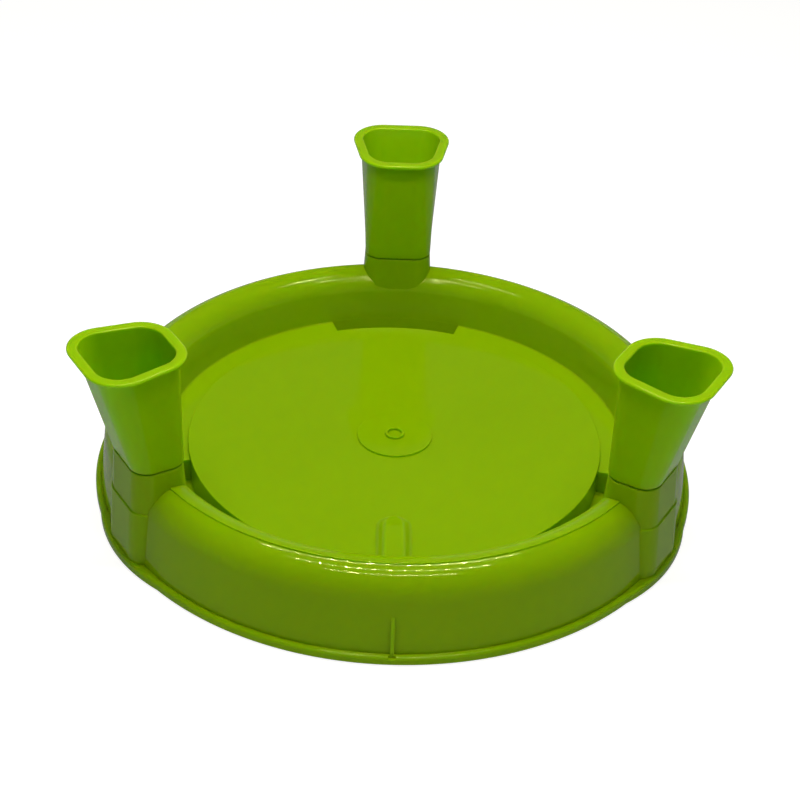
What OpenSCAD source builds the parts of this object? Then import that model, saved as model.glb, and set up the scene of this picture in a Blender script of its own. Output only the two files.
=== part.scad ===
// Gravity feeder base: a moulded trough tray lying on its rim, with three plug-in legs.
// The tray is upside down: its legs point up, and the trough opens downwards.
// Millimetres, +Z up, origin at the centre of the rim's resting plane.

/* [Rim] */
// Outer radius of the rim bead
rim_r = 135; // [125:1:150]
// Height of the rim bead
rim_h = 4; // [3:0.5:6]
// Width of the rim outside the foot of the wall
rim_w = 2.7; // [2:0.1:5]
// Radius of the bead's rounded upper edge
rim_round = 1.4; // [0.8:0.1:1.8]
// How far the rim bulges past each leg post
lobe_out = 2.4; // [1.5:0.1:4]
// Radius of the bulge's outline
lobe_r = 82; // [60:1:100]

/* [Trough] */
// Wall thickness of the tray
wall = 2; // [1.6:0.1:2.6]
// Height of the trough's rounded shoulder above the rim plane
trough_h = 40; // [36:0.5:46]
// Draft of the trough's outer wall, in degrees
outer_draft = 5.8; // [3:0.1:8]
// Radius of the outer shoulder
shoulder_r = 14; // [10:0.5:16]
// Width of the flat band along the trough's crest
band_w = 2.2; // [1.5:0.1:3.5]
// How far the band stands above the shoulder
band_rise = 0.3; // [0.2:0.1:0.8]
// Draft of the trough's inner wall, in degrees
inner_draft = 20.4; // [16:0.1:24]
// Radius that rounds the crest into the inner wall
crest_round = 6; // [4:0.5:8]

/* [Floor] */
// Width of the trough, from the foot of its outer wall to the ledge
trough_w = 27.9; // [25:0.1:31]
// Width of the ledge round the centre floor
ledge_w = 11.2; // [8:0.1:14]
// Height of the ledge above the rim plane
ledge_h = 17.4; // [14:0.1:20]
// Rise of the centre floor above the ledge
floor_rise = 2; // [1:0.1:3]
// Half angle of the lug pocket at each leg, in degrees
lug_half_angle = 17.3; // [10:0.1:25]
// Height of the pocket's bottom above the rim plane
lug_h = 6; // [4:0.5:10]
// How much thinner the lug's walls round the pocket are than the tray's
lug_thin = 0.4; // [0.2:0.1:0.6]
// Width of the ledge left along each side of the pocket
pocket_margin = 0.3; // [0.2:0.1:0.8]

/* [Centre] */
// Radius of the raised pad at the centre
pad_r = 16.9; // [12:0.1:22]
// Rise of the pad
pad_rise = 1; // [0.5:0.1:2]
// Radius of the gate ring on the pad
gate_r = 4.4; // [3:0.1:6]
// Height of the gate ring
gate_h = 1.2; // [0.6:0.1:2]
// Radial thickness of the gate ring
gate_wall = 1.3; // [0.8:0.1:2]

/* [Channel] */
// Radius at which the channel starts to rise out of the floor
channel_start = 60; // [50:1:70]
// Length over which it rises to its full height
channel_ramp = 15; // [10:1:20]
// Height of the channel's back above the floor
channel_h = 3.1; // [2:0.1:4]
// Width of the channel's back
channel_w = 15; // [12:0.5:20]
// Width over which each side of the back rounds down to the floor
channel_round = 4; // [2:0.1:5]

/* [Fill mark] */
// Width of the rib on the outer wall
rib_w = 2.4; // [1.6:0.1:4]
// How far the rib stands out of the wall
rib_out = 1.5; // [1:0.1:2]
// Height of the rib's top above the rim plane
rib_top = 19.5; // [12:0.5:24]
// Length of the rib's sloping top
rib_slope = 4; // [2:0.5:6]
// Width of the notch in the rim bead below the rib
notch_w = 3; // [2:0.1:5]
// Depth of that notch
notch_deep = 1; // [0.5:0.1:1.5]

/* [Leg posts] */
// Distance of each post's axis inside the foot of the outer wall
post_in = 11.9; // [10:0.1:13]
// Height of the post's seat above the rim plane
post_h = 48.5; // [45:0.5:60]
// Half depth of the post at its seat, along the radius
post_depth = 11.9; // [11:0.1:13]
// Half width of the post at its seat
post_width = 15.9; // [14:0.1:18]
// Corner radius of the post at its seat
post_corner = 8; // [6:0.1:9]
// Draft of the post's outer face and sides, in degrees
post_draft = 3; // [2:0.1:5]
// How far the leg's inner face overhangs the post's
post_lap = 0.5; // [0.3:0.1:1]
// Height of the step round the post's lower half
step_h = 29; // [26:0.5:34]
// Width of that step
step_w = 0.7; // [0.4:0.1:1.2]
// Depth of the socket in the post
socket_deep = 30; // [20:1:32]
// Wall between socket and post at the seat
socket_wall = 2.1; // [1.8:0.1:3]
// Draft of the socket and plug, in degrees
plug_draft = 1.5; // [0.5:0.1:3]

/* [Legs] */
// Height of the leg's foot face above the rim plane
leg_h = 101.6; // [80:0.5:140]
// Wall thickness of the leg
leg_wall = 1.3; // [1.1:0.1:2]
// Lean of the leg's outer face, in degrees
foot_lean = 15.5; // [8:0.5:20]
// Half width of the leg's outer face where it meets the foot
foot_outer = 22.3; // [19:0.1:26]
// Half width of the leg's inner face where it meets the foot
foot_inner = 15; // [14:0.1:18]
// Corner radius of the leg where it meets the foot
foot_corner = 11.8; // [9:0.1:13]
// How far the foot's lip spreads past the leg
lip_out = 3.4; // [2.5:0.1:5]
// Thickness of the lip
lip_t = 2; // [1.6:0.1:2.4]
// Radius of the fillet below the lip
lip_fillet = 2.2; // [1:0.1:3]
// Radius that rounds the lip into the mouth
mouth_r = 0.7; // [0.5:0.1:1]
// Clearance between plug and socket, on each side
plug_fit = 0.3; // [0.25:0.05:0.5]
// Gap between the leg's shoulder and the post's seat
seat_gap = 0.3; // [0.2:0.05:0.5]

/* [Hidden] */
$fn = 120;

lime = [0.52, 0.69, 0.02];
past = 1; // overshoot of every cut beyond the face it opens

// Directions of the legs, and of the channel and fill mark between the front two
back_turn = 90;
leg_turn = 120;
leg_turns = [back_turn, back_turn + leg_turn, back_turn + 2 * leg_turn];
channel_turn = back_turn + 180;

foot_r = rim_r - rim_w;
ledge_r = foot_r - trough_w;
floor_r = ledge_r - ledge_w;
post_r = foot_r - post_in;
lug_wall = wall - lug_thin;
edge_round = 0.6; // small rounding of the rim's lower edge and of the post's seat
band_top = trough_h + band_rise;
floor_h = ledge_h + floor_rise;
seat_z = post_h + seat_gap;
socket_floor = post_h - socket_deep;
island_z = socket_floor - wall;
plug_z = socket_floor + wall;
corner_steps = 8;

// The two straight walls of the trough, as radius against height
function wall_line(z) = foot_r - (z - rim_h) * tan(outer_draft);
function inner_line(z) = ledge_r + (z - ledge_h) * tan(inner_draft);

// Centres of the two arcs that join them over the crest
shoulder_c = [
    wall_line(trough_h - shoulder_r) - shoulder_r / cos(outer_draft),
    trough_h - shoulder_r
];
crest_c = [
    inner_line(band_top - crest_round) + crest_round / cos(inner_draft),
    band_top - crest_round
];
band_r = crest_c.x + band_w;

// Height of the shoulder arc at the band's edge, for a skin moved in by inset
function shoulder_at_band(inset) =
    shoulder_c.y + sqrt(pow(shoulder_r - inset, 2) - pow(band_r - shoulder_c.x, 2));

// Half section of the trough's ring, moved in by inset and open down to low
module ring_profile(inset, low) {
    shoulder = shoulder_r - inset;
    crest = crest_round - inset;
    polygon([
        [inner_line(low) + inset / cos(inner_draft), low],
        [wall_line(low) - inset / cos(outer_draft), low],
        shoulder_c + shoulder * [cos(outer_draft), sin(outer_draft)],
        [band_r, shoulder_at_band(inset)],
        [band_r, band_top - inset],
        [crest_c.x, band_top - inset],
        crest_c + crest * [-cos(inner_draft), sin(inner_draft)]
    ]);
    intersection() {
        translate(shoulder_c) circle(shoulder);
        translate([band_r, shoulder_c.y]) square(shoulder_r);
    }
    intersection() {
        translate(crest_c) circle(crest);
        translate(crest_c - [crest_round, 0]) square(crest_round);
    }
}

// Section of the rim bead, from radius inner_edge out to outer_edge
module bead_profile(inner_edge, outer_edge) {
    translate([inner_edge, 0])
        square([outer_edge - rim_round - inner_edge, rim_h]);
    translate([inner_edge, edge_round])
        square([outer_edge - inner_edge, rim_h - rim_round - edge_round]);
    translate([inner_edge, 0])
        square([outer_edge - edge_round - inner_edge, rim_h - rim_round]);
    translate([outer_edge - rim_round, rim_h - rim_round]) circle(rim_round);
    translate([outer_edge - edge_round, edge_round]) circle(edge_round);
}

// Everything below the upper skin of the tray, filled down to the rim plane
module skin_profile() {
    ring_profile(0, 0);
    square([ledge_r, ledge_h]);
    square([floor_r, floor_h]);
    bead_profile(foot_r - wall, rim_r);
}

// The open space under the tray: the trough, and the bay that holds the hopper
module hollow_profile() {
    ring_profile(wall, -past);
    translate([0, -past])
        square([inner_line(ledge_h - wall) + wall / cos(inner_draft), ledge_h - wall + past]);
    translate([0, -past]) square([floor_r - wall, floor_h - wall + past]);
}

// Outline of a post or leg at height z: a trapezium with round corners, inner_x and
// outer_x its faces, inner_w and outer_w their half widths.
function corner(centre, radius, from, to) =
    [for (i = [0:corner_steps])
        let (a = from + (to - from) * i / corner_steps)
        centre + radius * [cos(a), sin(a)]];
function outline(z, inner_x, outer_x, inner_w, outer_w, radius) =
    let (
        side = atan((outer_w - inner_w) / (outer_x - inner_x)),
        outer_c = [outer_x - radius, outer_w - radius * tan(side) - radius / cos(side)],
        inner_c = [inner_x + radius, inner_w + radius * tan(side) - radius / cos(side)],
        half = concat(
            corner(outer_c, radius, 0, 90 + side),
            corner(inner_c, radius, 90 + side, 180)),
        last = len(half) - 1
    )
    concat(
        [for (p = half) [p.x, p.y, z]],
        [for (i = [last:-1:0]) [half[i].x, -half[i].y, z]]);

// The seat's outline moved out by grow, at height z
function seat_outline(z, grow) =
    outline(z, post_r - post_depth - grow, post_r + post_depth + grow,
        post_width + grow, post_width + grow, post_corner + grow);

// The post's outline at height z: its inner face stands upright, its other sides are
// moved out by grow, and all are trimmed back by trim.
function post_outline(z, grow, trim = 0) =
    let (side = grow - trim)
    outline(z, post_r - post_depth + post_lap + trim, post_r + post_depth + side,
        post_width + side, post_width + side, post_corner + side);

// How far the drafted post has spread at height z, and its socket has narrowed
function post_spread(z) = (post_h - z) * tan(post_draft);
function socket_spread(z) = -socket_wall - (post_h - z) * tan(plug_draft);

// Solid through a stack of outlines with equal numbers of points, closed at both ends
module loft(outlines) {
    n = len(outlines[0]);
    last = len(outlines) - 1;
    polyhedron(
        points = [for (o = outlines) each o],
        faces = concat(
            [[for (i = [0:n - 1]) i]],
            [for (k = [0:last - 1], i = [0:n - 1])
                let (j = (i + 1) % n)
                each [
                    [k * n + i, (k + 1) * n + i, (k + 1) * n + j],
                    [k * n + i, (k + 1) * n + j, k * n + j]
                ]],
            [[for (i = [n - 1:-1:0]) last * n + i]]
        ),
        convexity = 8
    );
}

// The post, from the height low up to its seat, with a step round its lower part
module post(low) {
    chamfer_z = post_h - edge_round;
    step_z = step_h + step_w / 2;
    loft([
        post_outline(low, post_spread(low) + step_w),
        post_outline(step_h, post_spread(step_h) + step_w),
        post_outline(step_z, post_spread(step_z)),
        post_outline(chamfer_z, post_spread(chamfer_z)),
        post_outline(post_h, 0, edge_round)
    ]);
}

// The open space inside the post's lower end, below the socket's bottom
module post_hollow() {
    loft([
        post_outline(-past, post_spread(-past) - wall),
        post_outline(island_z, post_spread(island_z) - wall)
    ]);
}

module socket() {
    high = post_h + past;
    loft([
        seat_outline(socket_floor, socket_spread(socket_floor)),
        seat_outline(high, socket_spread(high))
    ]);
}

// The rim follows each post in a bulge of its own, larger curve, which runs on for
// lobe_overlap degrees past the place where it leaves the rim's own circle.
lobe_overlap = 2;
lobe_steps = 6;
lobe_centre = rim_r + lobe_out - lobe_r;
lobe_meet = (pow(rim_r, 2) + pow(lobe_centre, 2) - pow(lobe_r, 2)) / (2 * lobe_centre);
lobe_reach = acos((lobe_meet - lobe_centre) / lobe_r) + lobe_overlap;
function lobe_outline(z, inset) =
    [for (i = [-lobe_steps:lobe_steps])
        let (a = lobe_reach * i / lobe_steps)
        [lobe_centre + (lobe_r - inset) * cos(a), (lobe_r - inset) * sin(a), z]];
module rim_lobe() {
    // a little tighter than the bead's own roundings, so that the two never share a face
    bevel = 0.8 * edge_round;
    round = 0.85 * rim_round;
    loft([
        lobe_outline(0, bevel),
        lobe_outline(bevel, 0),
        lobe_outline(rim_h - round, 0),
        lobe_outline(rim_h - 0.3 * round, 0.3 * round),
        lobe_outline(rim_h, round)
    ]);
}

// Pocket between floor and trough that stands a locking lug up on the other side
module lug_pocket() {
    high = ledge_h + past;
    rotate([0, 0, -lug_half_angle]) rotate_extrude(angle = 2 * lug_half_angle)
        polygon([
            [floor_r + pocket_margin, lug_h],
            [inner_line(lug_h) - pocket_margin, lug_h],
            [inner_line(high) - pocket_margin, high],
            [floor_r + pocket_margin, high]
        ]);
}

// The lug round that pocket, standing in the space under the ledge
module lug() {
    half_angle = lug_half_angle + 1;
    low = lug_h - lug_wall;
    high = ledge_h - wall / 2;
    rotate([0, 0, -half_angle]) rotate_extrude(angle = 2 * half_angle)
        polygon([
            [floor_r - lug_wall, low],
            [inner_line(low) + lug_wall, low],
            [inner_line(high) + lug_wall, high],
            [floor_r - lug_wall, high]
        ]);
}

// A bar that rises out of the floor in a round nose and then runs level to the trough,
// moved in by inset on every side. It reaches down into the space below the floor.
bar_low = ledge_h - 2 * wall;
nose_steps = 7;
function bar_outline(x, top, half_w, round, drop) =
    let (side = [for (i = [0:corner_steps])
        let (a = 90 * i / corner_steps)
        [half_w - round * (1 - cos(a)), top - drop * (1 - sin(a))]])
    concat(
        [[x, half_w, bar_low]],
        [for (p = side) [x, p.x, p.y]],
        [for (i = [corner_steps:-1:0]) [x, -side[i].x, side[i].y]],
        [[x, -half_w, bar_low]]);
module channel_bar(inset, end) {
    full_w = channel_w / 2 - inset;
    drop = channel_h - inset;
    side = max(channel_round - inset, edge_round);
    loft(concat(
        [for (k = [1:nose_steps])
            let (
                part = pow(k / nose_steps, 2),
                bulge = 1 - pow(1 - part, 2),
                half_w = full_w * sqrt(bulge)
            )
            bar_outline(channel_start + inset + channel_ramp * part,
                floor_h + channel_h * bulge - inset, half_w, min(side, 0.9 * half_w), drop)],
        [bar_outline(end, floor_h + channel_h - inset, full_w, side, drop)]
    ));
}

module channel_back() {
    end = inner_line(ledge_h) + wall;
    intersection() {
        channel_bar(0, end);
        union() {
            translate([0, -channel_w, floor_h - wall / 2])
                cube([end, 2 * channel_w, channel_w]);
            translate([floor_r - wall / 2, -channel_w, ledge_h - wall / 2])
                cube([end - floor_r + wall / 2, 2 * channel_w, channel_w]);
        }
    }
}

// Rib on the outer wall, square to it and cut off in a slope at the top
module fill_rib() {
    rotate([90, 0, 0]) linear_extrude(rib_w, center = true)
        polygon([
            [wall_line(0) - wall, 0],
            [wall_line(rim_h) + rib_out, 0],
            [wall_line(rim_h) + rib_out, rim_h],
            [wall_line(rib_top - rib_slope) + rib_out, rib_top - rib_slope],
            [wall_line(rib_top), rib_top],
            [wall_line(rib_top) - wall, rib_top]
        ]);
}

module centre_pad() {
    translate([0, 0, floor_h - wall / 2]) cylinder(h = wall / 2 + pad_rise, r = pad_r);
    translate([0, 0, floor_h]) difference() {
        cylinder(h = pad_rise + gate_h, r = gate_r, $fn = 48);
        cylinder(h = pad_rise + gate_h + past, r = gate_r - gate_wall, $fn = 48);
    }
}

module at_legs() {
    for (turn = leg_turns) rotate([0, 0, turn]) children();
}

// Everything the tray's skin covers, filled down to the rim plane
module tray_skin() {
    rotate_extrude() skin_profile();
    at_legs() {
        rim_lobe();
        post(0);
    }
    rotate([0, 0, channel_turn]) {
        fill_rib();
        channel_back();
    }
    centre_pad();
}

// The open space below that skin, with the posts' cores and the lugs left standing in it
module tray_hollow() {
    difference() {
        rotate_extrude() hollow_profile();
        at_legs() {
            post(island_z);
            lug();
        }
    }
    at_legs() post_hollow();
}

module tray() {
    color(lime) difference() {
        union() tray_skin();
        union() tray_hollow();
        at_legs() {
            socket();
            lug_pocket();
        }
        rotate([0, 0, channel_turn]) {
            channel_bar(wall, inner_line(ledge_h) + 3 * wall);
            translate([rim_r - rim_round, -notch_w / 2, rim_h - notch_deep])
                cube([rim_w, notch_w, rim_h]);
        }
    }
}

// The plug's outline at height z, moved out by grow
function plug_outline(z, grow) = seat_outline(z, socket_spread(z) - plug_fit + grow);

// The leg's outline at height z, moved out by grow. It widens evenly up to the foot.
function leg_outline(z, grow) =
    let (
        up = (z - seat_z) / (leg_h - seat_z),
        lean = (z - seat_z) * tan(foot_lean),
        inner_x = post_r - post_depth,
        outer_x = post_r + post_depth + lean,
        inner_w = post_width + (foot_inner - post_width) * up,
        outer_w = post_width + (foot_outer - post_width) * up,
        radius = post_corner + (foot_corner - post_corner) * up,
        side = atan((outer_w - inner_w) / (outer_x - inner_x)),
        spread = grow / cos(side)
    )
    outline(z, inner_x - grow, outer_x + grow,
        inner_w + spread - grow * tan(side), outer_w + spread + grow * tan(side),
        radius + grow);

// Profile of the foot: [distance out from the leg's face, height], up, over and back inside
edge_r = lip_t / 2;
fillet_r = min(lip_fillet, lip_out - edge_r - 0.2);
foot_path = concat(
    [for (a = [0:22.5:90]) [fillet_r * (1 - cos(a)), leg_h - lip_t - fillet_r * (1 - sin(a))]],
    [for (a = [-90:30:90]) [lip_out - edge_r + edge_r * cos(a), leg_h - edge_r + edge_r * sin(a)]],
    [for (a = [90:22.5:180]) [mouth_r - leg_wall + mouth_r * cos(a), leg_h - mouth_r + mouth_r * sin(a)]]
);

// Hollow leg: up the plug, out over the shoulder, up to the foot and down the inside
module leg() {
    funnel = 4; // height over which the bore narrows into the plug
    color(lime) loft(concat(
        [
            plug_outline(plug_z, -edge_round),
            plug_outline(plug_z + edge_round, 0),
            plug_outline(seat_z, 0),
            leg_outline(seat_z, -edge_round / 2),
            leg_outline(seat_z + edge_round, 0)
        ],
        [for (p = foot_path) leg_outline(p.y, p.x)],
        [
            leg_outline(seat_z + funnel, -leg_wall),
            plug_outline(seat_z, -leg_wall),
            plug_outline(plug_z + leg_wall, -leg_wall)
        ]
    ));
}

module leg_back() { rotate([0, 0, leg_turns[0]]) leg(); }
module leg_left() { rotate([0, 0, leg_turns[1]]) leg(); }
module leg_right() { rotate([0, 0, leg_turns[2]]) leg(); }

tray();
leg_back();
leg_left();
leg_right();
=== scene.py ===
# %% [markdown]
# # Base tray of a gravity feeder
#
# The object is a round trough tray of lime plastic, lying upside down on its rim, with three
# hollow legs plugged into posts on its outer wall. The imported frame holds the four mouldings
# as they were constructed. Here they are modelled again in finer detail, in the same place, and
# given their plastic, a camera and a studio.
#
# The frame is loaded first.

import math

import bmesh
import bpy
from mathutils import Matrix, Vector


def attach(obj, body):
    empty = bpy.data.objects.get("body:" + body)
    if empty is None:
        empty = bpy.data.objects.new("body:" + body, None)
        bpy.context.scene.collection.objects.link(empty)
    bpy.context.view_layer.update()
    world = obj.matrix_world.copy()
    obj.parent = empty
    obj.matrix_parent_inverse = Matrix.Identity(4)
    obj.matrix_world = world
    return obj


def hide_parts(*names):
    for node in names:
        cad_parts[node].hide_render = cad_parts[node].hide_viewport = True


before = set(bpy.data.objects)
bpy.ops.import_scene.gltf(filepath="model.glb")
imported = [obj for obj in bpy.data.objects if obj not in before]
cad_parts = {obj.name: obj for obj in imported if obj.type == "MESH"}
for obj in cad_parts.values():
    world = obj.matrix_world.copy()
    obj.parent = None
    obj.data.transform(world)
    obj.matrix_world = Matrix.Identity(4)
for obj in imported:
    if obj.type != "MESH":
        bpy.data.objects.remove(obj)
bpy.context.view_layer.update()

# %% [markdown]
# ## Camera
#
# The camera comes first, so that every later step can be looked at. It could be aimed by a
# constraint, but here it is set out as a tripod head would be: a place, a turn about the upright,
# a tilt downwards and a slight roll. A long lens keeps the round rim from looking stretched.

# %% Camera
MM = 0.001
CAMERA_PLACE = Vector((-14.3, -766.0, 551.5)) * MM
CAMERA_YAW = math.radians(-1.2)
CAMERA_PITCH = math.radians(33.78)
CAMERA_ROLL = math.radians(2.41)
CAMERA_LENS = 92.5
CAMERA_SENSOR = 36

camera_data = bpy.data.cameras.new("camera")
camera_data.lens = CAMERA_LENS
camera_data.sensor_width = CAMERA_SENSOR
camera = bpy.data.objects.new("camera", camera_data)
bpy.context.scene.collection.objects.link(camera)
camera.matrix_world = (
    Matrix.Translation(CAMERA_PLACE)
    @ Matrix.Rotation(CAMERA_YAW, 4, "Z")
    @ Matrix.Rotation(math.pi / 2 - CAMERA_PITCH, 4, "X")
    @ Matrix.Rotation(CAMERA_ROLL, 4, "Z")
)
bpy.context.scene.camera = camera
print("camera at", [round(v, 3) for v in camera.location])

# %% [markdown]
# ## Starting and finishing a mesh
#
# Every turned or lofted piece here starts as a circle primitive. Its points are moved onto a
# drawn line, which is then spun or extruded. One helper makes the circle and opens edit mode, one
# moves a ring of points, and one closes the mesh: it merges doubles, drops loose ends and turns
# the faces outwards. Sizes are written in millimetres and turned into metres as the points are
# placed.

# %% Start, place and finish
MERGE_M = 1e-6


def start_circle(name, count):
    """A new circle of that many points, in edit mode, with the points' indices in order."""
    bpy.ops.object.select_all(action="DESELECT")
    bpy.ops.mesh.primitive_circle_add(vertices=count, radius=1, fill_type="NOTHING")
    piece = bpy.context.object
    piece.name = name
    piece.data.name = name
    bpy.ops.object.mode_set(mode="EDIT")
    bpy.ops.mesh.select_mode(type="VERT")
    return piece, list(range(count))


def place(piece, ring, points):
    """Moves a ring of points onto a line of (x, y, z) places in mm, and leaves it selected."""
    bpy.ops.mesh.select_all(action="DESELECT")
    mesh = bmesh.from_edit_mesh(piece.data)
    mesh.verts.ensure_lookup_table()
    for index, point in zip(ring, points):
        mesh.verts[index].co = Vector(point) * MM
        mesh.verts[index].select = True
    for edge in mesh.edges:
        edge.select = edge.verts[0].select and edge.verts[1].select
    bmesh.update_edit_mesh(piece.data)


def finish_mesh(piece):
    """Merges doubles, drops loose ends, turns the faces outwards and leaves edit mode."""
    bpy.ops.mesh.select_all(action="SELECT")
    bpy.ops.mesh.remove_doubles(threshold=MERGE_M)
    bpy.ops.mesh.delete_loose()
    bpy.ops.mesh.select_all(action="SELECT")
    bpy.ops.mesh.normals_make_consistent(inside=False)
    bpy.ops.object.mode_set(mode="OBJECT")
    return piece


# %% [markdown]
# ## Tray skin
#
# The tray's upper side is a turned shape, so it is drawn once as a half section and spun round
# the upright axis. Seen from the middle, the line runs over the floor, down to a ledge, up the
# inner wall, over the round crest, down a small step to the shoulder and the drafted outer wall,
# and ends in the rim bead. Real mouldings have no knife edges, so each corner gets a small arc.
# Those arcs catch the light as thin bright lines. The same form could be made by subdividing a
# few cylinders, but a drawn section keeps every wall, draft and radius as one named size.

# %% Sizes of the tray's section
RIM_R = 135.0
RIM_H = 4.0
RIM_W = 2.7
BEAD_R = 1.4
EDGE_ROUND = 0.6
WALL = 2.0
TROUGH_H = 40.0
OUTER_DRAFT = math.radians(5.8)
SHOULDER_R = 14.0
BAND_W = 0.3
BAND_RISE = 0.3
INNER_DRAFT = math.radians(12)
CREST_R = 12.0
TROUGH_W = 27.9
LEDGE_W = 11.2
FLOOR_STEP = 2.0
FOOT_R = RIM_R - RIM_W
LEDGE_R = FOOT_R - TROUGH_W
FLOOR_R = LEDGE_R - LEDGE_W
LEDGE_H = 17.4
FLOOR_H = LEDGE_H + FLOOR_STEP
print("ledge from", round(FLOOR_R, 1), "to", round(LEDGE_R, 1), "mm, floor at", FLOOR_H, "mm")


# %% Walls and the arcs between them
def wall_line(z):
    """Radius of the trough's outer face at height z."""
    return FOOT_R - (z - RIM_H) * math.tan(OUTER_DRAFT)


def inner_line(z):
    """Radius of the trough's inner face at height z."""
    return LEDGE_R + (z - LEDGE_H) * math.tan(INNER_DRAFT)


BAND_TOP = TROUGH_H + BAND_RISE
shoulder_z = TROUGH_H - SHOULDER_R
SHOULDER_C = (wall_line(shoulder_z) - SHOULDER_R / math.cos(OUTER_DRAFT), shoulder_z)
crest_z = BAND_TOP - CREST_R
CREST_C = (inner_line(crest_z) + CREST_R / math.cos(INNER_DRAFT), crest_z)
BAND_R = CREST_C[0] + BAND_W
print("shoulder arc round", [round(v, 1) for v in SHOULDER_C], "band out to", round(BAND_R, 1))


def arc(centre, radius, start, end, steps):
    """Points of an arc, its angles in degrees."""
    angles = [math.radians(start + (end - start) * i / steps) for i in range(steps + 1)]
    return [(centre[0] + radius * math.cos(a), centre[1] + radius * math.sin(a)) for a in angles]


# %% Spin tool
SPIN_STEPS = 288


def revolve(name, section):
    """A solid of revolution from a closed section of (radius, height) points."""
    piece, ring = start_circle(name, len(section))
    place(piece, ring, [(r, 0, z) for r, z in section])
    bpy.ops.mesh.spin(steps=SPIN_STEPS, angle=math.tau, center=(0, 0, 0), axis=(0, 0, 1))
    return finish_mesh(piece)


# %% Tray skin
FLOOR_ROUND = 0.35
LEDGE_ROUND = 0.8
BAND_ROUND = 0.25
BAND_FOOT = 0.12
BAND_GAP = 0.15
BEAD_GROOVE = 0.25
GROOVE_LIFT = 0.4
INNER_RISE = 1.4
INNER_RUN = 8
OUTER_RISE = 1.6
OUTER_RUN = 14

inner_deg = math.degrees(INNER_DRAFT)
outer_deg = math.degrees(OUTER_DRAFT)
band_foot = SHOULDER_C[1] + math.sqrt(SHOULDER_R**2 - (BAND_R - SHOULDER_C[0]) ** 2)
shoulder_start = math.degrees(math.acos((BAND_R - SHOULDER_C[0] + BAND_GAP) / SHOULDER_R))
ledge_corner = (
    LEDGE_R - LEDGE_ROUND * (1 - math.sin(INNER_DRAFT)) / math.cos(INNER_DRAFT),
    LEDGE_H + LEDGE_ROUND,
)
inner_start = LEDGE_H + 2 * LEDGE_ROUND
inner_z = [inner_start + INNER_RISE * i for i in range(INNER_RUN)]
outer_z = [shoulder_z - OUTER_RISE * i for i in range(OUTER_RUN)]
skin_section = (
    [(0, 0), (0, FLOOR_H), (FLOOR_R * 0.5, FLOOR_H)]
    + arc((FLOOR_R - FLOOR_ROUND, FLOOR_H - FLOOR_ROUND), FLOOR_ROUND, 90, 0, 4)
    + arc((FLOOR_R + FLOOR_ROUND, LEDGE_H + FLOOR_ROUND), FLOOR_ROUND, 180, 270, 4)
    + arc(ledge_corner, LEDGE_ROUND, -90, -inner_deg, 5)
    + [(inner_line(z), z) for z in inner_z]
    + arc(CREST_C, CREST_R, 180 - inner_deg, 90, 26)
    + arc((BAND_R - BAND_ROUND, BAND_TOP - BAND_ROUND), BAND_ROUND, 90, 0, 4)
    + [(BAND_R, band_foot - BAND_FOOT)]
    + arc(SHOULDER_C, SHOULDER_R, shoulder_start, outer_deg, 32)
    + [(wall_line(z), z) for z in outer_z]
    + [(wall_line(RIM_H + GROOVE_LIFT), RIM_H + GROOVE_LIFT)]
    + arc((FOOT_R + BEAD_GROOVE, RIM_H), BEAD_GROOVE, 180, 360, 6)
    + arc((RIM_R - BEAD_R, RIM_H - BEAD_R), BEAD_R, 90, 0, 8)
    + arc((RIM_R - EDGE_ROUND, EDGE_ROUND), EDGE_ROUND, 0, -90, 4)
)
tray = revolve("tray_shell", skin_section)
print("skin:", len(skin_section), "section points,", len(tray.data.polygons), "faces")

# %% [markdown]
# ## Lofted shapes
#
# The posts and legs are trapeziums with round corners, whose faces lean by different drafts, so
# neither a spin nor a plain extrusion gives them. A loft does: the first outline is filled, and
# its edge is extruded and moved onto the next outline, ring after ring.

# %% Loft tool
def extrude_ring(piece, ring):
    """Extrudes the selected ring's edges, and gives the new points' indices in the same order."""
    before = len(bmesh.from_edit_mesh(piece.data).verts)
    bpy.ops.mesh.extrude_edges_move()
    mesh = bmesh.from_edit_mesh(piece.data)
    mesh.verts.ensure_lookup_table()
    made = []
    for index in ring:
        vert = mesh.verts[index]
        others = [edge.other_vert(vert).index for edge in vert.link_edges]
        made.append(next(other for other in others if other >= before))
    return made


def loft(name, outlines):
    """A solid through a stack of outlines of (x, y, z) points, closed at both ends."""
    piece, ring = start_circle(name, len(outlines[0]))
    place(piece, ring, outlines[0])
    bpy.ops.mesh.edge_face_add()
    for points in outlines[1:]:
        ring = extrude_ring(piece, ring)
        place(piece, ring, points)
    bpy.ops.mesh.edge_face_add()
    return finish_mesh(piece)


# %% Copies and joins
BACK = math.pi / 2
THIRD = math.tau / 3
LEG_TURNS = {"leg_back": BACK, "leg_left": BACK + THIRD, "leg_right": BACK + 2 * THIRD}
CHANNEL_TURN = -math.pi / 2


def pick(piece):
    """Makes this piece the only one selected, and the active one."""
    bpy.ops.object.select_all(action="DESELECT")
    piece.select_set(True)
    bpy.context.view_layer.objects.active = piece


def turned(piece, name, angle):
    """A copy of the piece with its own mesh, turned about the upright axis."""
    pick(piece)
    bpy.ops.object.duplicate()
    copy = bpy.context.object
    copy.name = name
    copy.data.name = name
    bpy.ops.object.mode_set(mode="EDIT")
    bpy.ops.mesh.select_all(action="SELECT")
    bpy.ops.transform.rotate(value=-angle, orient_axis="Z", center_override=(0, 0, 0))
    bpy.ops.object.mode_set(mode="OBJECT")
    return copy


def delete(*pieces):
    """Removes pieces that have been used up."""
    for piece in pieces:
        bpy.data.objects.remove(piece)


def joined(name, pieces):
    """The pieces as one object."""
    pick(pieces[0])
    for piece in pieces:
        piece.select_set(True)
    bpy.ops.object.join()
    pieces[0].name = name
    return pieces[0]


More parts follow.
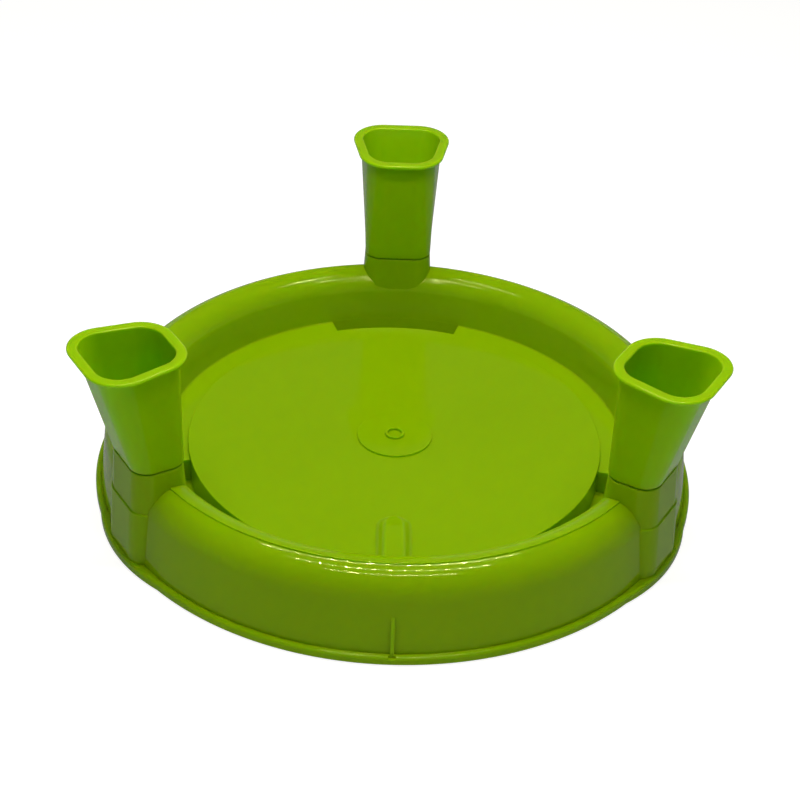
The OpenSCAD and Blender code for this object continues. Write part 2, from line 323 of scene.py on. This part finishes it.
def at_legs(piece):
    """The piece repeated at the three legs, as one object. The first is used up."""
    name = piece.name
    copies = [turned(piece, f"{name}_{leg_name}", turn) for leg_name, turn in LEG_TURNS.items()]
    delete(piece)
    return joined(name, copies)


print("legs at", [round(math.degrees(turn)) for turn in LEG_TURNS.values()], "degrees")


# %% Modifiers and booleans
def modify(piece, kind, **settings):
    """Adds a modifier to the piece, with its settings, and applies it."""
    pick(piece)
    bpy.ops.object.modifier_add(type=kind)
    modifier = piece.modifiers[-1]
    for name, value in settings.items():
        setattr(modifier, name, value)
    bpy.ops.object.modifier_apply(modifier=modifier.name)


def boolean(piece, other, operation):
    """Joins, cuts or intersects this piece with the other, which is used up."""
    modify(piece, "BOOLEAN", operation=operation, solver="EXACT", object=other)
    delete(other)
    print(f"{piece.name}: {operation.lower()}, {len(piece.data.polygons)} faces")


# %% [markdown]
# ## Posts and rim bulges
#
# Each leg stands on a hollow post that grows out of the trough's wall. All its sides are
# drafted, so that it leaves the mould, and its lower part is a step wider. A scaled cube would
# give neither the drafts nor the round corners, so the post is lofted. The step and the seat's
# edge get a few close rings, which round them. The rim bead swings round each post in a wider
# curve of its own.

# %% Outlines of posts and legs
CORNER_STEPS = 16


def outline(z, inner_x, outer_x, inner_w, outer_w, radius):
    """Trapezium with round corners at height z, from its two faces and their half widths."""
    side = math.atan((outer_w - inner_w) / (outer_x - inner_x))
    rise = radius * math.tan(side)
    reach = radius / math.cos(side)
    turn = 90 + math.degrees(side)
    half = arc((outer_x - radius, outer_w - rise - reach), radius, 0, turn, CORNER_STEPS)
    half += arc((inner_x + radius, inner_w + rise - reach), radius, turn, 180, CORNER_STEPS)
    return [(x, y, z) for x, y in half] + [(x, -y, z) for x, y in reversed(half)]


POST_H = 48.5
POST_DEPTH = 11.9
POST_R = FOOT_R - POST_DEPTH
POST_WIDTH = 15.9
POST_CORNER = 8.0
POST_LAP = 0.4
POST_DRAFT = math.radians(3)
FACE_DRAFT = math.radians(4)


def post_outline(z, grow, trim=0.0):
    """The post's outline at height z, its sides moved out by grow, all trimmed by trim."""
    side = grow - trim
    face = (POST_H - z) * math.tan(FACE_DRAFT)
    return outline(
        z,
        POST_R - POST_DEPTH + POST_LAP - face + trim,
        POST_R + POST_DEPTH + side,
        POST_WIDTH + side,
        POST_WIDTH + side,
        POST_CORNER + side,
    )


def post_spread(z):
    """How far the drafted sides have spread at height z."""
    return (POST_H - z) * math.tan(POST_DRAFT)


print("post axis at radius", round(POST_R, 1), "mm, foot spread", round(post_spread(0), 2), "mm")

# %% Posts
STEP_H = 29.0
STEP_W = 0.7
STEP_EDGE = ((0.2, 1.0), (0.0, 0.85), (-0.2, 0.4), (-0.35, 0.0))
POST_EDGE = 0.6
ISLAND_H = 16.5


def post(low):
    """A post from the height low up to its rounded seat."""
    rings = [post_outline(low, post_spread(low) + STEP_W)]
    for drop, part in STEP_EDGE:
        z = STEP_H - drop
        rings.append(post_outline(z, post_spread(z) + STEP_W * part))
    for r, z in arc((-POST_EDGE, POST_H - POST_EDGE), POST_EDGE, 0, 90, 4):
        rings.append(post_outline(z, post_spread(z), -r))
    return loft("post", rings)


boolean(tray, at_legs(post(0)), "UNION")

# %% Rim bulges
LOBE_STEPS = 44
LOBE_R = 82.0
LOBE_OUT = 2.27
LOBE_PAST = 2
LOBE_C = RIM_R + LOBE_OUT - LOBE_R
lobe_meet = (RIM_R**2 + LOBE_C**2 - LOBE_R**2) / (2 * LOBE_C)
LOBE_REACH = math.degrees(math.acos((lobe_meet - LOBE_C) / LOBE_R)) + LOBE_PAST


def lobe_outline(z, inset):
    """The bulge's curve at height z, closed by a chord inside the wall."""
    curve = arc((LOBE_C, 0), LOBE_R - inset, -LOBE_REACH, LOBE_REACH, LOBE_STEPS)
    return [(x, y, z) for x, y in curve]


lobe_edge = arc((-EDGE_ROUND, EDGE_ROUND), EDGE_ROUND, -90, 0, 4)
lobe_edge += arc((-BEAD_R, RIM_H - BEAD_R), BEAD_R, 0, 90, 8)
boolean(tray, at_legs(loft("rim_lobe", [lobe_outline(z, -r) for r, z in lobe_edge])), "UNION")

# %% [markdown]
# ## Channel, mark rib and centre pad
#
# A shallow channel under the floor shows from above as a low back with soft sides, which rises
# out of the floor in a half round nose and runs level to the trough. It is a loft along its
# length, because its width and height change together at the nose. The mark rib on the outer
# wall is a thin plate with a sloping top and a small bevel. The pad at the centre, with the ring
# left by the mould's gate, is spun like the skin.

# %% Channel back
CHANNEL_START = 60.0
CHANNEL_RAMP = 15.0
CHANNEL_H = 3.1
CHANNEL_W = 16.4
CHANNEL_ROUND = 5.0
CHANNEL_SINK = 0.03
NOSE_STEPS = 12
SIDE_STEPS = 12
SIDE_SHARE = 0.9
BAR_LOW = LEDGE_H - 2 * WALL


def bar_outline(x, top, half_w, side, drop):
    """The bar's section at x: a flat back that falls in a soft double curve at both sides."""
    parts = [i / SIDE_STEPS for i in range(SIDE_STEPS + 1)]
    edge = [(half_w - side * (1 - t), top - drop * t * t * (3 - 2 * t)) for t in parts]
    half = [(x, y, z) for y, z in edge] + [(x, half_w, BAR_LOW)]
    return half + [(x, -y, z) for x, y, z in reversed(half)]


def channel_bar(name, inset, end):
    """The bar from its round nose to end, moved in by inset on every side."""
    full_w = CHANNEL_W / 2 - inset
    side = max(CHANNEL_ROUND - inset, EDGE_ROUND)
    sunk = FLOOR_H - CHANNEL_SINK - inset
    rings = []
    for step in range(1, NOSE_STEPS + 1):
        part = (step / NOSE_STEPS) ** 2
        bulge = 1 - (1 - part) ** 2
        along = min(1.0, CHANNEL_RAMP * part / full_w)
        half_w = full_w * math.sqrt(1 - (1 - along) ** 2)
        x = CHANNEL_START + inset + CHANNEL_RAMP * part
        top = FLOOR_H + CHANNEL_H * bulge - inset
        nose_side = min(side, SIDE_SHARE * half_w)
        rings.append(bar_outline(x, top, half_w, nose_side, top - sunk))
    top = FLOOR_H + CHANNEL_H - inset
    rings.append(bar_outline(end, top, full_w, side, top - sunk))
    return loft(name, rings)


channel_end = inner_line(LEDGE_H) + WALL
ridge = channel_bar("ridge", 0, channel_end)
print("channel back:", len(ridge.data.polygons), "faces")


# %% Trim the channel back to what shows above floor and ledge
PAST = 1  # how far a cut or a joint runs past the face it has to meet


def block(name, low, high):
    """A box between two corners."""
    centre = (Vector(high) + Vector(low)) * MM / 2
    bpy.ops.object.select_all(action="DESELECT")
    bpy.ops.mesh.primitive_cube_add(size=1, location=centre)
    piece = bpy.context.object
    piece.name = name
    piece.scale = (Vector(high) - Vector(low)) * MM
    bpy.ops.object.transform_apply(location=True, rotation=False, scale=True)
    return piece


far_corner = (channel_end, CHANNEL_W, FLOOR_H + CHANNEL_W)
over_floor = block("over_floor", (0, -CHANNEL_W, FLOOR_H - PAST), far_corner)
over_ledge = block("over_ledge", (FLOOR_R - PAST, -CHANNEL_W, LEDGE_H - PAST), far_corner)
boolean(over_floor, over_ledge, "UNION")
boolean(ridge, over_floor, "INTERSECT")

# %% Mark rib
RIB_W = 1.6
RIB_OUT = 1.5
RIB_TOP = 21.5
RIB_SLOPE = 4.0
RIB_LOW = 0.5
RIB_BEVEL = 0.22
rib_side = [
    (wall_line(0) - WALL, RIB_LOW),
    (wall_line(RIM_H) + RIB_OUT, RIB_LOW),
    (wall_line(RIM_H) + RIB_OUT, RIM_H),
    (wall_line(RIB_TOP - RIB_SLOPE) + RIB_OUT, RIB_TOP - RIB_SLOPE),
    (wall_line(RIB_TOP), RIB_TOP),
    (wall_line(RIB_TOP) - WALL, RIB_TOP),
]
rib = loft("rib", [[(x, y, z) for x, z in rib_side] for y in (-RIB_W / 2, RIB_W / 2)])
modify(rib, "BEVEL", width=RIB_BEVEL * MM, segments=3)
print("rib:", len(rib.data.polygons), "faces")

# %% Centre pad, and all three added to the skin
PAD_R = 16.9
PAD_RISE = 1.0
PAD_H = FLOOR_H + PAD_RISE
GATE_R = 4.4
GATE_WALL = 1.3
GATE_RISE = 1.2
GATE_TOP = PAD_H + GATE_RISE
PAD_ROUND = 0.3

gate_inner = GATE_R - GATE_WALL + PAD_ROUND
gate_outer = GATE_R - PAD_ROUND
pad_section = (
    [(0, FLOOR_H - PAST), (0, PAD_H), (GATE_R - GATE_WALL, PAD_H)]
    + arc((gate_inner, GATE_TOP - PAD_ROUND), PAD_ROUND, 180, 90, 3)
    + arc((gate_outer, GATE_TOP - PAD_ROUND), PAD_ROUND, 90, 0, 3)
    + [(GATE_R, PAD_H)]
    + arc((PAD_R - PAD_ROUND, PAD_H - PAD_ROUND), PAD_ROUND, 90, 0, 4)
    + [(PAD_R, FLOOR_H - PAST)]
)
additions = [
    revolve("pad", pad_section),
    turned(ridge, "channel_ridge", CHANNEL_TURN),
    turned(rib, "mark_rib", CHANNEL_TURN),
]
delete(ridge, rib)
boolean(tray, joined("additions", additions), "UNION")

# %% [markdown]
# ## Underside
#
# The tray is a shell about two millimetres thick. Its open underside is one more half section,
# the skin's line moved inwards, spun and cut away. A solidify modifier would thicken the skin
# too, but it knows nothing of posts and lugs. Here the posts' cores and the locking lugs are
# taken out of the cutting shape first, so that they stay standing in the hollow.

# %% Lugs and their pockets
LUG_ANGLE = math.radians(17.3)
LUG_MARGIN = math.radians(1)
LUG_H = 6.0
LUG_WALL = 1.6
LUG_EDGE = 0.4
FLUSH = 0.02
RING_HALF = 20


def lug_line(z):
    """Radius of the pocket's outer face at height z."""
    return inner_line(z) + FLUSH


def ring_stretch(name, half_angle, section):
    """A section of (radius, height) points swept through a stretch of a ring."""
    outlines = []
    for i in range(-RING_HALF, RING_HALF + 1):
        angle = half_angle * i / RING_HALF
        outlines.append([(r * math.cos(angle), r * math.sin(angle), z) for r, z in section])
    return loft(name, outlines)


def lug():
    """The lug's body, round its pocket."""
    low, high = LUG_H - LUG_WALL, LEDGE_H - WALL / 2
    return ring_stretch("lug", LUG_ANGLE + LUG_MARGIN, [
        (FLOOR_R - LUG_WALL, low),
        (lug_line(low) + LUG_WALL, low),
        (lug_line(high) + LUG_WALL, high),
        (FLOOR_R - LUG_WALL, high),
    ])


def lug_pocket():
    """The pocket that opens in the ledge, flush with the floor's edge and the trough's wall."""
    inside, bottom, high = FLOOR_R - FLUSH, LUG_H + LUG_EDGE, FLOOR_H - FLOOR_ROUND
    return ring_stretch("lug_pocket", LUG_ANGLE, [
        (inside, bottom),
        (inside + LUG_EDGE, LUG_H),
        (lug_line(LUG_H) - LUG_EDGE, LUG_H),
        (lug_line(bottom), bottom),
        (lug_line(LEDGE_H), LEDGE_H),
        (lug_line(LEDGE_H), high),
        (inside, high),
    ])


print("pocket width, mm:", round(lug_line(LEDGE_H) - FLOOR_R + FLUSH, 1))

# %% Hollow of the underside
def hidden_line(z):
    """Radius of the trough's hidden face, behind its inner wall."""
    return inner_line(z) + WALL / math.cos(INNER_DRAFT)


shoulder_in = SHOULDER_R - WALL
meet = math.degrees(math.acos((BAND_R - SHOULDER_C[0]) / shoulder_in))
step = FLOOR_R - WALL
hollow_section = (
    [(0, -PAST), (0, FLOOR_H - WALL), (step, FLOOR_H - WALL), (step, LEDGE_H - WALL)]
    + [(hidden_line(LEDGE_H - WALL), LEDGE_H - WALL)]
    + arc(CREST_C, CREST_R - WALL, 180 - inner_deg, 90, 10)
    + [(BAND_R, BAND_TOP - WALL)]
    + arc(SHOULDER_C, shoulder_in, meet, outer_deg, 18)
    + [(wall_line(-PAST) - WALL / math.cos(OUTER_DRAFT), -PAST)]
)
hollow = revolve("hollow", hollow_section)
boolean(hollow, at_legs(post(ISLAND_H)), "DIFFERENCE")
boolean(hollow, at_legs(lug()), "DIFFERENCE")
post_hollow = loft("post_hollow", [
    post_outline(-PAST, post_spread(-PAST) - WALL),
    post_outline(ISLAND_H, post_spread(ISLAND_H) - WALL),
])
boolean(hollow, at_legs(post_hollow), "UNION")
boolean(tray, hollow, "DIFFERENCE")

# %% [markdown]
# ## Sockets and small cuts
#
# The last cuts come from above and from the front: the socket in each post that takes a leg's
# plug, the lug pockets, the open channel below its back, and a notch in the rim bead under the
# mark rib. Each could be cut by itself, but the exact boolean is slow on a mesh of this size, so
# the cutters are joined and taken away in one go.

# %% Sockets, pockets, channel and notch
SOCKET_DEPTH = 30
SOCKET_FLOOR = POST_H - SOCKET_DEPTH
SOCKET_WALL = 2.1
NOTCH_W = 3.0
NOTCH_DEEP = 1.0
PLUG_DRAFT = math.radians(1.5)


def seat_outline(z, grow):
    """The seat's outline, moved out by grow, at height z."""
    width = POST_WIDTH + grow
    radius = POST_CORNER + grow
    return outline(z, POST_R - POST_DEPTH - grow, POST_R + POST_DEPTH + grow, width, width, radius)


def socket_spread(z):
    """How far the socket's drafted wall stands inside the seat's outline."""
    return -SOCKET_WALL - (POST_H - z) * math.tan(PLUG_DRAFT)


socket = loft("socket", [
    seat_outline(SOCKET_FLOOR, socket_spread(SOCKET_FLOOR)),
    seat_outline(POST_H + PAST, socket_spread(POST_H + PAST)),
])
outlet = channel_bar("outlet", WALL, inner_line(LEDGE_H) + 3 * WALL)
notch_low = (RIM_R - BEAD_R, -NOTCH_W / 2, RIM_H - NOTCH_DEEP)
notch = block("notch", notch_low, (RIM_R + RIM_W, NOTCH_W / 2, 2 * RIM_H))
cuts = [
    at_legs(socket),
    at_legs(lug_pocket()),
    turned(outlet, "outlet_cut", CHANNEL_TURN),
    turned(notch, "notch_cut", CHANNEL_TURN),
]
delete(outlet, notch)
boolean(tray, joined("cuts", cuts), "DIFFERENCE")

# %% [markdown]
# ## Legs
#
# A leg is one hollow loft. Its rings run up the plug, out over the shoulder, up the widening body
# to the rolled lip of the foot, over into the mouth and down inside again, so the wall has its
# real thickness. A solid that is hollowed by a boolean would do as well, but the loft keeps clean
# rings, which shade smoothly. One leg is made and then copied to the three posts.

# %% Leg outlines
PLUG_FIT = 0.3
PLUG_H = SOCKET_FLOOR + WALL
SEAT_GAP = 0.6
SEAT_H = POST_H + SEAT_GAP
LEG_H = 101.6
LEG_WALL = 1.3
FOOT_LEAN = math.radians(15.5)
FOOT_OUTER = 22.3
FOOT_INNER = 15.0
FOOT_CORNER = 11.8
print("leg from", PLUG_H, "to", LEG_H, "mm, seat at", SEAT_H, "mm")


def plug_outline(z, grow):
    """The plug's outline, moved out by grow, at height z."""
    return seat_outline(z, socket_spread(z) - PLUG_FIT + grow)


def leg_outline(z, grow):
    """The leg's outline, moved out by grow, at height z. It widens evenly up to the foot."""
    up = (z - SEAT_H) / (LEG_H - SEAT_H)
    inner_x = POST_R - POST_DEPTH
    outer_x = POST_R + POST_DEPTH + (z - SEAT_H) * math.tan(FOOT_LEAN)
    inner_w = POST_WIDTH + (FOOT_INNER - POST_WIDTH) * up
    outer_w = POST_WIDTH + (FOOT_OUTER - POST_WIDTH) * up
    radius = POST_CORNER + (FOOT_CORNER - POST_CORNER) * up
    side = math.atan((outer_w - inner_w) / (outer_x - inner_x))
    spread = grow / math.cos(side)
    shift = grow * math.tan(side)
    return outline(
        z,
        inner_x - grow,
        outer_x + grow,
        inner_w + spread - shift,
        outer_w + spread + shift,
        radius + grow,
    )


# %% Foot profile
LIP_OUT = 3.35
LIP_R = 1.0
FILLET_R = 2.2
MOUTH_R = 0.7

fillet_z = LEG_H - 2 * LIP_R - FILLET_R
fillet = [(FILLET_R + x, z) for x, z in arc((0, fillet_z), FILLET_R, 180, 90, 8)]
lip = arc((LIP_OUT - LIP_R, LEG_H - LIP_R), LIP_R, -90, 90, 12)
mouth = arc((MOUTH_R - LEG_WALL, LEG_H - MOUTH_R), MOUTH_R, 90, 180, 8)
foot_path = fillet + lip + mouth
print("foot profile:", len(foot_path), "points")

# %% Legs
LEG_EDGE = 0.8
SEAM_ROUND = 0.8
FUNNEL = 4.0
BODY_RISE = 6
BODY_RINGS = 7

shoulder = arc((-SEAM_ROUND, SEAT_H + SEAM_ROUND), SEAM_ROUND, -90, 0, 5)
body = [SEAT_H + BODY_RISE + i * BODY_RISE for i in range(BODY_RINGS)]
rings = [
    plug_outline(PLUG_H, -LEG_EDGE),
    plug_outline(PLUG_H + LEG_EDGE, 0),
    plug_outline(SEAT_H, 0),
]
rings += [leg_outline(z, grow) for grow, z in shoulder]
rings += [leg_outline(z, 0) for z in body]
rings += [leg_outline(z, grow) for grow, z in foot_path]
rings += [leg_outline(z, -LEG_WALL) for z in reversed(body)]
rings += [
    leg_outline(SEAT_H + FUNNEL, -LEG_WALL),
    plug_outline(SEAT_H, -LEG_WALL),
    plug_outline(PLUG_H + LEG_WALL, -LEG_WALL),
]
first_leg = loft("leg", rings)
legs = {name: turned(first_leg, name + "_shell", turn) for name, turn in LEG_TURNS.items()}
delete(first_leg)
print("leg:", len(legs["leg_back"].data.polygons), "faces")

# %% [markdown]
# ## Shading and bodies
#
# Smooth shading hides the facets and keeps the real edges, which are the ones that turn by more
# than about thirty degrees. On the tray, whose booleans leave long thin faces, the weighted
# normal modifier lets the large faces lead. Then each piece is tied to its body, and the
# constructed node it stands for is hidden.

# %% Shading and ownership
SHARP = math.radians(34)


def smooth(piece):
    """Smooth shading that keeps the sharp edges."""
    pick(piece)
    bpy.ops.object.shade_smooth_by_angle(angle=SHARP)


smooth(tray)
modify(tray, "WEIGHTED_NORMAL", keep_sharp=True, weight=100)
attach(tray, "tray")
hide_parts("tray")
for name, piece in legs.items():
    smooth(piece)
    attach(piece, name)
    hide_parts(name)
print("bodies:", ["tray", *legs])

# %% [markdown]
# ## Shader maths
#
# Materials are built from nodes. They could be placed and linked one by one, but a small class
# that wraps a shader socket lets maps be written as ordinary sums and products, which are easier
# to read and change. Its one method for other nodes takes the node's type, its settings and the
# values or links of its sockets.

# %% Map class
class Map:
    """A shader value that can be added, taken away and multiplied like a number."""

    def __init__(self, tree, socket=None):
        self.tree = tree
        self.socket = socket

    def node(self, kind, settings=None, inputs=None, output=0):
        """A new node's output: its settings are made first, then its sockets."""
        made = self.tree.nodes.new(kind)
        for name, value in (settings or {}).items():
            setattr(made, name, value)
        for name, value in (inputs or {}).items():
            self.feed(made.inputs[name], value)
        return Map(self.tree, made.outputs[output])

    def feed(self, socket, value):
        """Links a map to a socket, or sets the socket's value."""
        if isinstance(value, Map):
            self.tree.links.new(value.socket, socket)
        else:
            socket.default_value = value

    def maths(self, operation, first, second, clamp=False):
        """A math node on two maps or numbers."""
        settings = {"operation": operation, "use_clamp": clamp}
        return self.node("ShaderNodeMath", settings, {0: first, 1: second})

    def __add__(self, other):
        return self.maths("ADD", self, other)

    __radd__ = __add__

    def __sub__(self, other):
        return self.maths("SUBTRACT", self, other)

    def __rsub__(self, other):
        return self.maths("SUBTRACT", other, self)

    def __mul__(self, other):
        return self.maths("MULTIPLY", self, other)

    __rmul__ = __mul__

    def clamped(self):
        """The value held between 0 and 1."""
        return self.maths("ADD", self, 0.0, True)

    def mix(self, low, high):
        """A colour running from low to high as the value runs from 0 to 1."""
        inputs = {"Factor": self, "A": (*low, 1), "B": (*high, 1)}
        return self.node("ShaderNodeMix", {"data_type": "RGBA"}, inputs, "Result")


# %% [markdown]
# ## Lime plastic
#
# The real plastic is lime green all through, moulded against polished steel: glossy, with a
# very slight skin and a faint cloud where it flowed. The legs are moulded by themselves, a
# little paler and less polished than the tray, so one function makes both plastics. Noise of
# two sizes, on object coordinates in metres, varies the colour, the roughness and the bump by a
# little, as a plain green would look like a drawing.
#
# Light soaks into such plastic and comes out of the other side of a thin wall, which is why the
# legs are bright inside and why shaded parts turn greener. An emission would glow in the dark
# too, so subsurface scattering is used, deeper in the thin legs than in the tray, and with green
# light reaching further than red. The tint on the specular takes some blue out of reflections
# seen head on, while those along an edge stay white.

# %% Colours and finish of the plastic
LIME = (0.222, 0.405, 0.0006)
LIME_DEEP = (0.208, 0.388, 0.0004)
LEG_LIME = (0.245, 0.432, 0.0006)
LEG_LIME_DEEP = (0.231, 0.412, 0.0004)
CLOUD_SCALE = 14
CLOUD_DETAIL = 3
CLOUD_CONTRAST = 1.6
CLOUD_ROUGH = 0.02
SKIN_SCALE = 420
SKIN_DETAIL = 2
SKIN_ROUGH = 0.01
SKIN_BUMP = 0.03
SKIN_DEPTH = 0.03 * MM
PLASTIC_IOR = 1.49
PLASTIC_GLOSS = 0.32
GLOSS_TINT = (1.0, 1.0, 0.4, 1)
GLOW_REACH = (0.55, 1.0, 0.1)
print("palest green:", LEG_LIME, "deepest:", LIME_DEEP)


# %% Plastic material
def lime_plastic(name, pale, deep, roughness, glow, reach):
    """Glossy lime plastic with flow clouds and a fine skin, which light enters by reach mm."""
    material = bpy.data.materials.new(name)
    material.use_nodes = True
    tree = Map(material.node_tree)
    shader = material.node_tree.nodes["Principled BSDF"]
    place_on = tree.node("ShaderNodeTexCoord", output="Object")

    def noise(scale, detail):
        inputs = {"Vector": place_on, "Scale": scale, "Detail": detail}
        return tree.node("ShaderNodeTexNoise", inputs=inputs, output="Fac")

    cloud = noise(CLOUD_SCALE, CLOUD_DETAIL) - 0.5
    skin = noise(SKIN_SCALE, SKIN_DETAIL)
    colour = (cloud * CLOUD_CONTRAST + 0.5).clamped().mix(deep, pale)
    tree.feed(shader.inputs["Base Color"], colour)
    rough = cloud * CLOUD_ROUGH + (skin - 0.5) * SKIN_ROUGH + roughness
    tree.feed(shader.inputs["Roughness"], rough)
    bump = {"Strength": SKIN_BUMP, "Distance": SKIN_DEPTH, "Height": skin}
    tree.feed(shader.inputs["Normal"], tree.node("ShaderNodeBump", inputs=bump, output="Normal"))
    shader.inputs["IOR"].default_value = PLASTIC_IOR
    shader.inputs["Specular IOR Level"].default_value = PLASTIC_GLOSS
    shader.inputs["Specular Tint"].default_value = GLOSS_TINT
    shader.inputs["Subsurface Weight"].default_value = glow
    shader.inputs["Subsurface Radius"].default_value = GLOW_REACH
    shader.inputs["Subsurface Scale"].default_value = reach * MM
    return material


# %% Tray and leg plastic
tray_plastic = lime_plastic(
    "tray_plastic", LIME, LIME_DEEP, roughness=0.06, glow=0.8, reach=6
)
leg_plastic = lime_plastic(
    "leg_plastic", LEG_LIME, LEG_LIME_DEEP, roughness=0.14, glow=0.9, reach=7
)
for piece in (tray, *legs.values()):
    piece.data.materials.clear()
    piece.data.materials.append(tray_plastic if piece is tray else leg_plastic)
print("materials:", tray_plastic.name, leg_plastic.name)

# %% [markdown]
# ## Studio
#
# The object stands on a plain pale floor, which throws light back up onto its walls. The camera
# sees that floor mostly as white, with the object's shadow left faintly in it, and the room
# behind it as plain white. Glossy rays see the floor dimmer, because the real plastic mirrors a
# dim room. To every other ray the room is a world that is pale low down and dim overhead, mixed
# by height. One soft lamp could light the object as evenly, but the lights of a real ceiling
# show as rows of fine dots along the crest. So the light comes from two rows of small square
# lamps and one narrow strip, overhead and slightly warm.

# %% What each kind of ray sees
def seen_by(tree, rays, shade, strength, share):
    """The shade, with white of that strength laid over it by share for the rays named."""
    seen = sum(tree.node("ShaderNodeLightPath", output=ray) for ray in rays) * share
    white = tree.node("ShaderNodeEmission", inputs={"Strength": strength})
    return tree.node("ShaderNodeMixShader", inputs={0: seen.clamped(), 1: shade, 2: white})


CAMERA_RAYS = ("Is Camera Ray",)
GLOSS_RAYS = ("Is Glossy Ray", "Is Transmission Ray")
print("rays told apart:", *CAMERA_RAYS, *GLOSS_RAYS)

# %% Floor
FLOOR_SIDE = 6
FLOOR_DROP = 0.0005
FLOOR_PALE = (0.85, 0.85, 0.85, 1)
FLOOR_MATT = 0.9
FLOOR_WHITE = 1.42
FLOOR_SHARE = 0.6
FLOOR_IN_GLOSS = 0.27
bpy.ops.object.select_all(action="DESELECT")
bpy.ops.mesh.primitive_plane_add(size=FLOOR_SIDE, location=(0, 0, -FLOOR_DROP))
floor = bpy.context.object
floor.name = "floor"
floor_material = bpy.data.materials.new("pale_floor")
floor_material.use_nodes = True
floor_tree = Map(floor_material.node_tree)
floor_shader = floor_material.node_tree.nodes["Principled BSDF"]
floor_shader.inputs["Base Color"].default_value = FLOOR_PALE
floor_shader.inputs["Roughness"].default_value = FLOOR_MATT
floor_shader.inputs["Specular IOR Level"].default_value = 0.0
floor_output = floor_material.node_tree.nodes["Material Output"]
floor_shade = Map(floor_tree.tree, floor_shader.outputs[0])
floor_seen = seen_by(floor_tree, CAMERA_RAYS, floor_shade, FLOOR_WHITE, FLOOR_SHARE)
floor_seen = seen_by(floor_tree, GLOSS_RAYS, floor_seen, FLOOR_IN_GLOSS, 1.0)
floor_tree.feed(floor_output.inputs["Surface"], floor_seen)
floor.data.materials.append(floor_material)
print("floor:", floor.name)

# %% Room: pale low down, dim above
ROOM_TINT = (0.92, 1.0, 0.95, 1)
ROOM_LOW = 0.35
ROOM_HIGH = 0.1
ROOM_BAND = 0.6
world = bpy.data.worlds.new("room")
bpy.context.scene.world = world
world.use_nodes = True
room = Map(world.node_tree)
world_output = world.node_tree.nodes["World Output"]
low = world.node_tree.nodes["Background"]
low.inputs["Color"].default_value = ROOM_TINT
low.inputs["Strength"].default_value = ROOM_LOW
room_low = Map(room.tree, low.outputs[0])
room_high = room.node("ShaderNodeBackground", inputs={"Color": ROOM_TINT, "Strength": ROOM_HIGH})
direction = room.node("ShaderNodeTexCoord", output="Generated")
height = room.node("ShaderNodeSeparateXYZ", inputs={"Vector": direction}, output="Z")
lowness = (1 - height * (1 / ROOM_BAND)).clamped()
room_mix = {0: lowness * lowness, 1: room_high, 2: room_low}
room_shade = room.node("ShaderNodeMixShader", inputs=room_mix)
room.feed(world_output.inputs["Surface"], seen_by(room, CAMERA_RAYS, room_shade, 1.0, 1.0))
print("room:", world.name)


# %% Lamps
WARM = (1.0, 0.92, 0.78)
CEILING = 0.66
LAMP_GAP = 0.033
LAMP_HALF = 7
LAMP_SIZE = (0.008, 0.008)
LAMP_POWER = 0.145
ROWS = {"back": 0.11, "middle": -0.11}
STRIP_Y = -0.3
STRIP_SIZE = (0.4, 0.008)
STRIP_POWER = 1.1


def lamp(name, spot, size, energy):
    """A rectangular warm lamp at that spot, facing straight down."""
    data = bpy.data.lights.new(name, "AREA")
    data.shape = "RECTANGLE"
    data.size, data.size_y = size
    data.energy = energy
    data.color = WARM
    light = bpy.data.objects.new(name, data)
    light.location = spot
    bpy.context.scene.collection.objects.link(light)


for row, y in ROWS.items():
    for i in range(-LAMP_HALF, LAMP_HALF + 1):
        lamp(f"{row}_lamp_{i + LAMP_HALF}", (i * LAMP_GAP, y, CEILING), LAMP_SIZE, LAMP_POWER)
lamp("front_strip", (0, STRIP_Y, CEILING), STRIP_SIZE, STRIP_POWER)
bpy.context.scene.view_settings.view_transform = "Standard"
